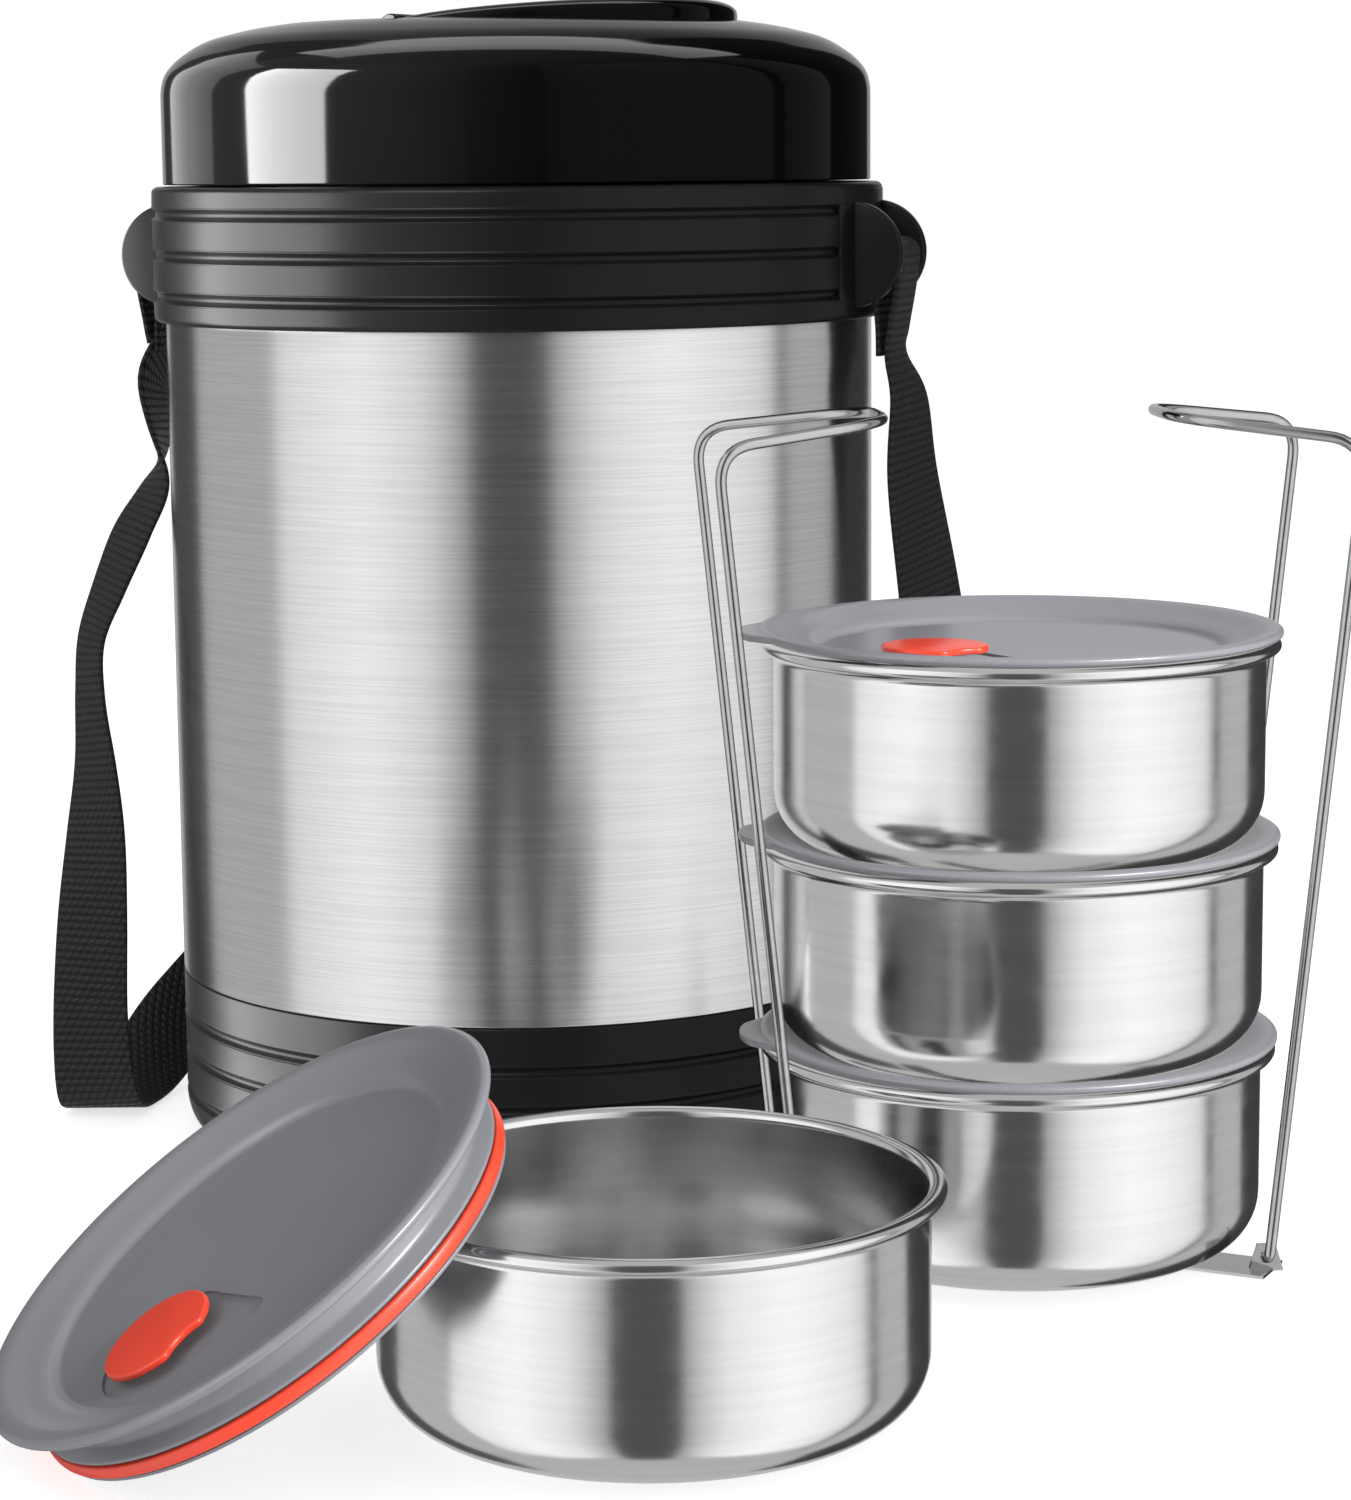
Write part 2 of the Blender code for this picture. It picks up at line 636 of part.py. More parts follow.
def build_strap():
    """From the left lug down to the surface, round behind the jacket, and up to the right lug. Each key
    is a point on the band's middle line and the direction of its width there."""
    left = [((-89.3, 20.5, 176), (-0.22, -0.98, 0)), ((-87.8, 19, 162), (-0.02, -1, 0))]
    left += [((-89.4, 17, 151.5), (0.42, -0.91, 0)), ((-94.8, 14.5, 141), (0.55, -0.83, 0))]
    left += [((-100.4, 12.5, 128), (0.5, -0.87, 0)), ((-104.9, 11, 115.5), (0.42, -0.91, 0))]
    left += [((-105.4, 9, 102), (0.46, -0.89, 0)), ((-104.3, 6.5, 85), (0.6, -0.8, 0))]
    left += [((-104.3, 3.5, 68), (0.78, -0.62, 0)), ((-105.2, 0, 48), (0.9, -0.44, 0))]
    left += [((-105.9, -2.5, 28), (0.94, -0.34, 0)), ((-105.6, -3.4, 14), (0.97, -0.22, 0))]
    left += [((-104.8, -1, 4.6), (1, -0.06, 0)), ((-103.5, 6, 1.4), (1, 0, 0))]
    left += [((-101.5, 15, 1.5), (1, -0.1, 0))]
    left += [((-97, 27, 6.5), (0.92, -0.2, -0.34)), ((-88, 43, 18), (0.75, 0, -0.66))]
    behind = [((-68, 68, 36), (0.5, 0, -0.86)), ((-38, 92, 51), (0.25, -0.05, -0.97))]
    behind += [((0, 101, 56), (0, -0.08, -1)), ((38, 93, 49), (-0.25, -0.05, -0.97))]
    behind += [((70, 71, 32), (-0.5, 0, -0.86))]
    right = [((90, 47, 15), (-0.75, 0, -0.66)), ((99, 31, 5.5), (-0.95, -0.1, -0.3))]
    right += [((102.5, 16, 1.4), (-1, -0.05, 0)), ((104, 6, 1.5), (-1, 0, 0))]
    right += [((105, 0.5, 4.4), (-1, 0, 0)), ((105.6, -2.5, 14), (-1, -0.1, 0))]
    right += [((105.5, -5, 34), (-1, -0.2, 0)), ((103.5, -9, 64), (-0.93, -0.37, 0))]
    right += [((99.4, -14.5, 98), (-0.82, -0.57, 0)), ((94.8, -19.5, 130), (-0.72, -0.69, 0))]
    right += [((90.8, -23.4, 156), (-0.6, -0.8, 0)), ((89.8, -24.8, 174), (-0.45, -0.89, 0))]
    middle = [(Vector(p), Vector(w).normalized()) for p, w in left + behind + right]
    first = strap_end(LUG_ANGLE + 180, LUG_ANGLE + 270)
    last = strap_end(LUG_ANGLE, LUG_ANGLE - 90)
    path = smooth_path(first + middle + last[::-1], 2)
    put(ribbon("shoulder_strap", path, STRAP_WIDE, STRAP_THICK), "webbing")


clear_scene()
PARTS = collection("tiffin_carrier")
CUTTERS = collection("cutters")
build_jacket()
build_jacket_lid()
build_rack()
build_open_tin()
build_strap()
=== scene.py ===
"""Looks of the insulated tiffin carrier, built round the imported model.

Metres, +Z up, viewer on the -Y side. The origin is the centre of the jacket's underside. The
jacket stands closed with its strap. Its rack stands in front of it with three lidded tins, and
the fourth tin is open with its lid leaning on the rim.
"""

import json
import math

import bmesh
import bpy
from mathutils import Matrix, Vector

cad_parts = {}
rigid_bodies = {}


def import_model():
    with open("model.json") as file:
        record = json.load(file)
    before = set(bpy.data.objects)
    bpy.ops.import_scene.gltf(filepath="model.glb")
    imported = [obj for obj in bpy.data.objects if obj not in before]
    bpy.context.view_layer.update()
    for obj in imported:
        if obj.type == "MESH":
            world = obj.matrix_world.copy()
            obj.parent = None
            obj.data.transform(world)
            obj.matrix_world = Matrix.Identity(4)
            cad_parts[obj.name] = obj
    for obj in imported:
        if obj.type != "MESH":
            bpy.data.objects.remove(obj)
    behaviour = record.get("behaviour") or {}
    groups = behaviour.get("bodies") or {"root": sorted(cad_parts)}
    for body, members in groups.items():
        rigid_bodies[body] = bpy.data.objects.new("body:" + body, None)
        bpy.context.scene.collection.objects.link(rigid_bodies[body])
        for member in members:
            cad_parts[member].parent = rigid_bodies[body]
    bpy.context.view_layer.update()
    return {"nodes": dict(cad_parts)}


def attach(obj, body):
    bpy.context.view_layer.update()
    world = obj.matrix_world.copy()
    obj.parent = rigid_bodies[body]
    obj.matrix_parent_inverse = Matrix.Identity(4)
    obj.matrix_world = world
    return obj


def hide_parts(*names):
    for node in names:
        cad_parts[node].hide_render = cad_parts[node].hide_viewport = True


MM = 0.001
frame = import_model()

# Layout, in millimetres and degrees, as the model has it
RACK_X, RACK_Y, RACK_YAW = 107.4, -111.4, 3.65
OPEN_TIN = (30.8, -218.9, 0.1)
FIRST_TIN_Z, PITCH, GAP = 1.0, 42.6, 0.3
LEAN_POINT, LEAN_TILT, LEAN_DOWNHILL, LEAN_TAB = (-43.65, -235.28, 39.37), 35.0, 200.24, -12.0

# The jacket, its lugs, the strap's bars and the lid's handle
BASE_R, COLLAR_R = 82.5, 85.1
BASE_GROOVES, COLLAR_GROOVES = (11.0, 21.0, 30.0), (217.0, 207.8, 198.4)
LUG_ANGLE, LUG_Z, PAD_HALF_ANGLE = -15.5, 207.0, 15.0
CHEEK_R, CHEEK_NEAR, CHEEK_FAR = 12.0, 11.0, 14.5
BAR_OUT, BAR_R, BAR_HALF = 90.3, 1.9, 14.0
HANDLE_FROM, HANDLE_IN, HANDLE_OUT, HANDLE_AXIS_Z, BOSS_R = 240, 39.0, 51.5, 257.6, 3.2

# A tin, its lid, and the valve in the lid
TIN_R, TIN_WALL, TIN_H, RIM_R, TIN_FILLET = 51.2, 0.8, 43.7, 54.2, 12.0
FLANGE, FLANGE_R, TAB_R, LID_FLOOR = 2.1, 54.6, 58.8, -2.6
VALVE_AT, VALVE_ANGLE, VALVE_R, HINGE_ANGLE, HINGE_Z = 25.4, 219.0, 11.0, 120.0, -2.3
BITE_OUT, BITE_R = 4.2, 6.6
POCKET_ANGLE, POCKET_R, POCKET_TIP, POCKET_TIP_R = 333.0, 13.4, 20.0, 2.6

# The rack's loops and the strap
LOOP_X, LOOP_FOOT_Z, LOOP_TOP_Z, LOOP_LEAN, WIRE_R = 48.0, 3.2, 172.6, 5.8, 1.15
STRAP_WIDE, STRAP_THICK = 20.0, 1.4
RIB_PITCH, WARP_PITCH = 0.0036, 0.0042  # metres, along the strap and across it

# How finely the shapes are cut
SHARP, BEVEL_FROM = math.radians(42), math.radians(35)
STRAIGHT = 0.998  # the cosine of a corner too flat to round
MOST_OF_A_SIDE = 0.48  # what a rounded corner may take of either side
ON_AXIS = 1e-6
WIRE_SIDES, WIRE_CORNER_STEPS = 20, 10
WIRE_ENDS = ((0.35, 0.85), (0.5, 0.55))  # how far past the end, and how thick there, both in radii
FILLET_STEPS, HANDLE_STEPS, STRAP_STEPS = 12, 72, 9

# Camera, in metres and degrees, except for its roll in radians
CAMERA_AT = (0.0357, -0.8888, 0.2283)
CAMERA_DOWN = 8.915
CAMERA_ROLL = -0.0084
LENS, SENSOR = 90.23, 36.0

# Studio, in metres
STUDIO_CENTRE = (0.03, -0.1)
AIM = (*STUDIO_CENTRE, 0.1)
WORLD_LIGHT, FLOOR_LIGHT, FLOOR_SIZE = 0.58, 0.5, 30
CARD_LOW, CARD_HIGH = -2.2, 4.5
UNREFLECTED = ("tin_1", "tin_2", "tin_3", "tin_lid_1", "tin_lid_2", "tin_lid_3")
UNREFLECTED += ("tin_seal_", "tin_valve_", "loop_")


# ---------------------------------------------------------------- shapes


def polar(radius, degrees, z=0.0):
    turn = math.radians(degrees)
    return Vector((radius * math.cos(turn), radius * math.sin(turn), z))


def new_object(name, data):
    obj = bpy.data.objects.new(name, data)
    bpy.context.scene.collection.objects.link(obj)
    return obj


def shade(mesh):
    """Smooth shading that breaks at sharp corners."""
    mesh.shade_smooth()
    mesh.set_sharp_from_angle(angle=SHARP)


def mesh_of(name, points, faces, smooth=True):
    mesh = bpy.data.meshes.new(name)
    mesh.from_pydata([tuple(p) for p in points], [], faces)
    work = bmesh.new()
    work.from_mesh(mesh)
    bmesh.ops.recalc_face_normals(work, faces=work.faces)
    work.to_mesh(mesh)
    work.free()
    if smooth:
        shade(mesh)
    return mesh


def mesh_only(obj):
    """The mesh of a finished object, for several pieces to share."""
    mesh = obj.data
    bpy.data.objects.remove(obj)
    return mesh


def side_faces(rings, count):
    """The faces between rings of points that lie one after another in a list."""
    faces = []
    for n in range(rings - 1):
        for k in range(count):
            m = (k + 1) % count
            faces.append([n * count + k, n * count + m, (n + 1) * count + m, (n + 1) * count + k])
    return faces


def end_faces(rings, count):
    """The faces that close the first ring and the last."""
    return [list(range(count)), list(range((rings - 1) * count, rings * count))]


def arc(first, corner, last, steps):
    """Points on the curve that turns a corner."""
    shares = [k / steps for k in range(steps + 1)]
    return [(1 - t) ** 2 * first + 2 * t * (1 - t) * corner + t * t * last for t in shares]


def softened(section, radius, steps, closed):
    """A section with its corners turned on small arcs. A third number on a point is its radius."""
    out = []
    count = len(section)
    for n, corner in enumerate(section):
        at = Vector(corner[:2])
        own = corner[2] if len(corner) > 2 else radius
        if not closed and n in (0, count - 1):
            out.append(at)
            continue
        back, on = Vector(section[n - 1][:2]), Vector(section[(n + 1) % count][:2])
        if own == 0 or (at - back).normalized().dot((on - at).normalized()) > STRAIGHT:
            out.append(at)
            continue
        cut = min(own, (back - at).length * MOST_OF_A_SIDE, (on - at).length * MOST_OF_A_SIDE)
        first = at + (back - at).normalized() * cut
        last = at + (on - at).normalized() * cut
        out += arc(first, at, last, steps)
    return out


def lathe(name, section, turns=160, radius=0.5, steps=4):
    """A turned piece from half its section in millimetres, with rounded corners."""
    on_axis = section[0][0] == 0 and section[-1][0] == 0
    line = softened(section, radius, steps, closed=not on_axis)
    count = len(line)
    points, rings = [], []
    for at in line:
        if at.x < ON_AXIS:
            rings.append([len(points)] * turns)
            points.append((0, 0, at.y * MM))
            continue
        rings.append(list(range(len(points), len(points) + turns)))
        for k in range(turns):
            angle = 2 * math.pi * k / turns
            points.append((at.x * MM * math.cos(angle), at.x * MM * math.sin(angle), at.y * MM))
    faces = []
    for n in range(count if not on_axis else count - 1):
        a, b = rings[n], rings[(n + 1) % count]
        for k in range(turns):
            m = (k + 1) % turns
            corners = [a[k], a[m], b[m], b[k]]
            faces.append(list(dict.fromkeys(corners)))
    return new_object(name, mesh_of(name, points, faces))


def tube(name, path, radius):
    """A round wire along points in millimetres, its ends rounded over."""
    path = [Vector(p) for p in path]
    first, last = (path[0] - path[1]).normalized(), (path[-1] - path[-2]).normalized()
    line = [(path[0] + first * radius * past, share) for past, share in reversed(WIRE_ENDS)]
    line += [(p, 1.0) for p in path]
    line += [(path[-1] + last * radius * past, share) for past, share in WIRE_ENDS]
    points, side = [], None
    for n, (centre, share) in enumerate(line):
        along = (line[min(n + 1, len(line) - 1)][0] - line[max(n - 1, 0)][0]).normalized()
        side = along.cross(Vector((0.13, 0.21, 0.97))) if side is None else side
        side = (side - along * side.dot(along)).normalized()
        up = along.cross(side)
        for k in range(WIRE_SIDES):
            t = 2 * math.pi * k / WIRE_SIDES
            points.append((centre + radius * share * (math.cos(t) * side + math.sin(t) * up)) * MM)
    faces = side_faces(len(line), WIRE_SIDES) + end_faces(len(line), WIRE_SIDES)
    return new_object(name, mesh_of(name, points, faces))


def rounded_path(corners, radii):
    """A path through corners, each but the first and last turned on its own radius."""
    path = [Vector(corners[0])]
    for n in range(1, len(corners) - 1):
        at, back, on = Vector(corners[n]), Vector(corners[n - 1]), Vector(corners[n + 1])
        first = at + (back - at).normalized() * radii[n - 1]
        last = at + (on - at).normalized() * radii[n - 1]
        path += arc(first, at, last, WIRE_CORNER_STEPS)
    path.append(Vector(corners[-1]))
    return path


def slab(name, outline, low, high, bevel=0.0, segments=3):
    """A flat outline in millimetres, raised from one height to another, its edges rounded."""
    count = len(outline)
    points = [(x * MM, y * MM, low * MM) for x, y in outline]
    points += [(x * MM, y * MM, high * MM) for x, y in outline]
    faces = [list(range(count))[::-1], list(range(count, 2 * count))]
    faces += [[i, (i + 1) % count, count + (i + 1) % count, count + i] for i in range(count)]
    obj = new_object(name, mesh_of(name, points, faces))
    if bevel:
        add_bevel(obj, bevel, segments)
    return obj


def add_bevel(obj, width, segments=3):
    bevel = obj.modifiers.new("edges", "BEVEL")
    bevel.width = width * MM
    bevel.segments = segments
    bevel.limit_method = "ANGLE"
    bevel.angle_limit = BEVEL_FROM
    bake(obj)


def bake(obj):
    """Turns an object's modifiers into its mesh."""
    bpy.context.view_layer.update()
    graph = bpy.context.evaluated_depsgraph_get()
    mesh = bpy.data.meshes.new_from_object(obj.evaluated_get(graph))
    obj.modifiers.clear()
    obj.data = mesh
    shade(mesh)


def carve(obj, other):
    """Cuts one object out of another, and removes it."""
    change = obj.modifiers.new("boolean", "BOOLEAN")
    change.operation = "DIFFERENCE"
    change.solver = "EXACT"
    change.object = other
    bake(obj)
    bpy.data.objects.remove(other, do_unlink=True)


def cylinder(name, start, end, radius, sides, bevel=0.0):
    start, end = Vector(start) * MM, Vector(end) * MM
    along = end - start
    turn = along.to_track_quat("Z", "Y").to_matrix().to_4x4()
    work = bmesh.new()
    bmesh.ops.create_cone(
        work,
        cap_ends=True,
        segments=sides,
        radius1=radius * MM,
        radius2=radius * MM,
        depth=along.length,
        matrix=Matrix.Translation((start + end) / 2) @ turn,
    )
    mesh = bpy.data.meshes.new(name)
    work.to_mesh(mesh)
    work.free()
    shade(mesh)
    obj = new_object(name, mesh)
    if bevel:
        add_bevel(obj, bevel)
    return obj


def merge(name, objects):
    """One object from several that touch or cross."""
    work = bmesh.new()
    for obj in objects:
        work.from_mesh(obj.data)
        bpy.data.objects.remove(obj, do_unlink=True)
    mesh = bpy.data.meshes.new(name)
    work.to_mesh(mesh)
    work.free()
    shade(mesh)
    return new_object(name, mesh)


def place(obj, body, material, node, matrix=None):
    """Puts a piece in the place of its CAD node, with its material, to ride on its body."""
    if matrix is not None:
        obj.data = obj.data.copy()
        obj.data.transform(matrix)
    obj.data.materials.clear()
    obj.data.materials.append(material)
    bpy.context.view_layer.update()
    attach(obj, body)
    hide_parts(node)


# ---------------------------------------------------------------- materials


class Nodes:
    """A short way to write a material's nodes."""

    def __init__(self, name, colour, metallic, roughness, **more):
        self.material = bpy.data.materials.new(name)
        self.material.use_nodes = True
        self.tree = self.material.node_tree
        self.shader = self.tree.nodes["Principled BSDF"]
        self.set("Base Color", (*colour, 1))
        self.set("Metallic", metallic)
        self.set("Roughness", roughness)
        for key, value in more.items():
            self.set(key.replace("_", " "), value)

    def set(self, socket, value):
        self.shader.inputs[socket].default_value = value

    def node(self, kind, **values):
        made = self.tree.nodes.new(kind)
        for key, value in values.items():
            setattr(made, key, value)
        return made

    def link(self, source, target):
        self.tree.links.new(source, target)

    def coordinates(self, scale=(1, 1, 1)):
        here = self.node("ShaderNodeTexCoord")
        stretch = self.node("ShaderNodeMapping")
        stretch.inputs["Scale"].default_value = scale
        self.link(here.outputs["Object"], stretch.inputs["Vector"])
        return stretch.outputs["Vector"]

    def noise(self, vector, scale, detail=2.0, rough=0.5):
        made = self.node("ShaderNodeTexNoise")
        made.inputs["Scale"].default_value = scale
        made.inputs["Detail"].default_value = detail
        made.inputs["Roughness"].default_value = rough
        self.link(vector, made.inputs["Vector"])
        return made.outputs["Fac"]

    def span(self, value, low, high, from_low=0.0, from_high=1.0):
        made = self.node("ShaderNodeMapRange", interpolation_type="SMOOTHSTEP")
        made.inputs["From Min"].default_value = from_low
        made.inputs["From Max"].default_value = from_high
        made.inputs["To Min"].default_value = low
        made.inputs["To Max"].default_value = high
        self.link(value, made.inputs["Value"])
        return made.outputs["Result"]

    def math(self, operation, a, b=None):
        made = self.node("ShaderNodeMath", operation=operation)
        for n, value in enumerate((a, b)):
            if value is None:
                continue
            if isinstance(value, (int, float)):
                made.inputs[n].default_value = value
            else:
                self.link(value, made.inputs[n])
        return made.outputs[0]

    def blend(self, share, one, two):
        made = self.node("ShaderNodeMix", data_type="RGBA")
        made.inputs["A"].default_value = (*one, 1)
        made.inputs["B"].default_value = (*two, 1)
        self.link(share, made.inputs["Factor"])
        return made.outputs["Result"]

    def bump(self, height, strength, distance, normal=None):
        """Gives the surface this height, on top of another bump where normal is given."""
        made = self.node("ShaderNodeBump")
        made.inputs["Strength"].default_value = strength
        made.inputs["Distance"].default_value = distance
        self.link(height, made.inputs["Height"])
        if normal is not None:
            self.link(normal, made.inputs["Normal"])
        self.link(made.outputs["Normal"], self.shader.inputs["Normal"])
        return made.outputs["Normal"]

    def to(self, socket, value):
        self.link(value, self.shader.inputs[socket])


def brushed_steel():
    """Brushed round the sleeve: level hairlines draw reflections out up and down."""
    brushing = {"Anisotropic": 0.8, "Anisotropic_Rotation": 0.25}
    m = Nodes("brushed_steel", (0.6, 0.6, 0.597), 1.0, 0.26, **brushing)
    fine = m.noise(m.coordinates((30, 30, 2400)), 1.0, 2.0, 0.5)
    wide = m.noise(m.coordinates((16, 16, 700)), 1.0, 2.0, 0.5)
    m.to("Roughness", m.span(wide, 0.255, 0.275, 0.2, 0.8))
    grain = m.math("ADD", m.math("MULTIPLY", fine, 0.75), m.math("MULTIPLY", wide, 0.25))
    dull, bright = (0.595, 0.595, 0.593), (0.665, 0.665, 0.662)
    m.to("Base Color", m.blend(m.span(grain, 0, 1, 0.36, 0.64), dull, bright))
    tangent = m.node("ShaderNodeTangent", direction_type="RADIAL", axis="Z")
    m.link(tangent.outputs[0], m.shader.inputs["Tangent"])
    return m.material


def polished_steel(name, roughness, level):
    """Spun and polished: nearly a mirror, with faint turning lines and soft waviness."""
    m = Nodes(name, (level, level, level), 1.0, roughness)
    lines = m.noise(m.coordinates((4, 4, 700)), 1.0, 2.0)
    waves = m.noise(m.coordinates((1, 1, 1)), 22.0, 1.0)
    smears = m.noise(m.coordinates((1, 1, 2.5)), 60.0, 4.0, 0.6)
    m.to("Roughness", m.span(smears, roughness * 0.85, roughness * 1.2, 0.3, 0.75))
    dull, bright = (level, level, level * 0.996), (level + 0.03, level + 0.03, level + 0.027)
    m.to("Base Color", m.blend(m.span(lines, 0, 1, 0.35, 0.65), dull, bright))
    turned = m.bump(lines, 0.015, 0.00003)
    m.bump(waves, 0.05, 0.0008, turned)
    return m.material


def moulded(name, colour, roughness, grain, spread=0.06, tint=0.12, **more):
    """Injection-moulded plastic with a fine spark texture and slight unevenness of sheen."""
    m = Nodes(name, colour, 0.0, roughness, **more)
    fine = m.noise(m.coordinates(), 1800.0, 2.0)
    broad = m.noise(m.coordinates(), 24.0, 3.0)
    m.to("Roughness", m.span(broad, roughness - spread, roughness + spread, 0.2, 0.8))
    darker = tuple(c * (1 - tint) for c in colour)
    lighter = tuple(min(1, c * (1 + tint)) for c in colour)
    m.to("Base Color", m.blend(m.span(broad, 0, 1, 0.2, 0.8), darker, lighter))
    m.bump(fine, grain, 0.00006)
    return m.material


def webbing():
    """Flat woven nylon: staggered ribs across the band, from the piece's own width and length."""
    sheen = {"Sheen_Weight": 0.04, "Sheen_Roughness": 0.4, "Specular_IOR_Level": 0.3}
    m = Nodes("webbing", (0.008, 0.008, 0.0083), 0.0, 0.6, **sheen)
    uv = m.node("ShaderNodeUVMap", uv_map="band")
    parts = m.node("ShaderNodeSeparateXYZ")
    m.link(uv.outputs[0], parts.inputs[0])
    across, along = parts.outputs["X"], parts.outputs["Y"]
    column = m.math("MULTIPLY", across, 2 * math.pi / WARP_PITCH)
    row = m.math("MULTIPLY", along, 2 * math.pi / RIB_PITCH)
    ribs = m.math("POWER", m.math("ABSOLUTE", m.math("SINE", row)), 0.7)
    staggered = m.math("ADD", column, m.math("MULTIPLY", row, 0.5))
    warps = m.math("ABSOLUTE", m.math("SINE", staggered))
    bumps = m.math("MULTIPLY", ribs, m.span(warps, 0.55, 1.0))
    thread = m.noise(m.coordinates(), 3500.0, 2.0)
    height = m.math("ADD", bumps, m.math("MULTIPLY", thread, 0.35))
    # painted shade and highlight: the base colour runs from near black in the gaps between the ribs
    # to lighter on the thread tops
    shaded_gap, lit_thread_top = (0.0005, 0.0005, 0.0005), (0.013, 0.013, 0.0133)
    m.to("Base Color", m.blend(m.span(bumps, 0, 1, 0.0, 0.9), shaded_gap, lit_thread_top))
    m.to("Roughness", m.span(bumps, 0.75, 0.4))
    m.bump(height, 1.0, 0.0009)
    return m.material


def foam():
    """Rigid yellow foam with fine cells."""
    m = Nodes("foam", (0.78, 0.7, 0.45), 0.0, 0.9)
    cells = m.noise(m.coordinates(), 900.0, 3.0)
    m.to("Base Color", m.blend(cells, (0.66, 0.58, 0.36), (0.86, 0.78, 0.52)))
    m.bump(cells, 0.6, 0.0004)
    return m.material


STEEL = brushed_steel()
TIN_STEEL = polished_steel("polished_steel", 0.17, 0.7)
WIRE_STEEL = polished_steel("wire_steel", 0.15, 0.42)
# name, colour, roughness, grain, spread of the roughness and of the tint
BLACK = moulded(
    "black_plastic", (0.0065, 0.0065, 0.0068), 0.3, 0.16, 0.03, Specular_IOR_Level=0.12
)
GLOSS = moulded(
    "gloss_black", (0.0012, 0.0012, 0.0013), 0.07, 0.015, 0.015, Specular_IOR_Level=0.05
)
GREY = moulded("grey_plastic", (0.19, 0.193, 0.21), 0.3, 0.08, 0.02, 0.03)
RED = moulded("red_silicone", (0.76, 0.05, 0.02), 0.32, 0.08, 0.05, 0.06)
PALE = moulded("pale_silicone", (0.72, 0.71, 0.69), 0.5, 0.12)
WEBBING = webbing()
FOAM = foam()


# ---------------------------------------------------------------- jacket


def groove(radius, z):
    """The points of one moulded groove, from the top down, with rolled lips."""
    half, deep, lip, floor = 1.15, 1.0, 0.14, 0.42
    upper = [(radius, z + half + 0.55), (radius + lip, z + half + 0.2), (radius - deep, z + floor)]
    lower = [(radius - deep, z - floor), (radius + lip, z - half - 0.2), (radius, z - half - 0.55)]
    return upper + lower


def build_jacket():
    section = [(0, 0.6), (66, 0.6), (68, 0.0), (74.8, 0.0, 2), (79.2, 1.8, 3)]
    section += [(81.6, 4.6, 3), (BASE_R, 8.2, 3)]
    for z in BASE_GROOVES:
        section += groove(BASE_R, z)[::-1]
    section += [(BASE_R, 40.0, 0.5), (79.2, 40.0), (79.2, 7.2), (76.2, 4.0), (0, 4.0)]
    place(lathe("jacket_base", section), "jacket", BLACK, "base_cup")

    section = [(82.5, 205, 0.3), (82.5, 40.2, 0.4), (81.7, 40.2, 0.3), (81.7, 205, 0.3)]
    place(lathe("jacket_sleeve", section, 200), "jacket", STEEL, "outer_sleeve")

    section = [(64.7, 219.5), (64.7, 223.2), (84.0, 223.2, 0.6), (85.0, 222.4, 0.8)]
    for z in COLLAR_GROOVES:
        section += groove(COLLAR_R, z)
    section += [(COLLAR_R, 193.4, 0.8), (84.4, 192.4, 0.4), (82.8, 192.4), (82.8, 219.5)]
    pieces = [lathe("collar", section)] + lug(LUG_ANGLE) + lug(LUG_ANGLE + 180)
    place(merge("jacket_collar", pieces), "jacket", BLACK, "collar")
    for side, node in ((0, "strap_bar_right"), (180, "strap_bar_left")):
        out, along = polar(1, LUG_ANGLE + side), polar(1, LUG_ANGLE + side + 90)
        middle = out * BAR_OUT + Vector((0, 0, LUG_Z))
        start, end = middle - along * BAR_HALF, middle + along * BAR_HALF
        bar = cylinder(node + "_turned", start, end, BAR_R, 32, 0.4)
        place(bar, "jacket", BLACK, node)

    section = [(0, 13.2), (60, 13.2, 4), (64.3, 17.5, 3), (64.3, 222.6, 0.2), (63.5, 222.9, 0.3)]
    section += [(63.5, 18, 4), (59.6, 14.0, 3), (0, 14.0)]
    place(lathe("jacket_liner", section), "jacket", STEEL, "inner_liner")


def lug(angle):
    """A smooth pad across the grooves and two round cheeks with the strap's bar between them."""
    out, along = polar(1, angle), polar(1, angle + 90)
    steps = 20
    low = angle - PAD_HALF_ANGLE
    turns = [low + 2 * PAD_HALF_ANGLE * k / steps for k in range(steps + 1)]
    outline = [polar(COLLAR_R + 0.05, a)[:2] for a in turns]
    outline += [polar(82.9, a)[:2] for a in reversed(turns)]
    made = [slab("pad", outline, 193.6, 221.8, 0.35)]
    centre = out * 82.5 + Vector((0, 0, LUG_Z))
    for way in (-1, 1):
        near, far = along * way * CHEEK_NEAR, along * way * CHEEK_FAR
        made.append(cylinder("cheek", centre + near, centre + far, CHEEK_R, 72, 0.55))
    return made


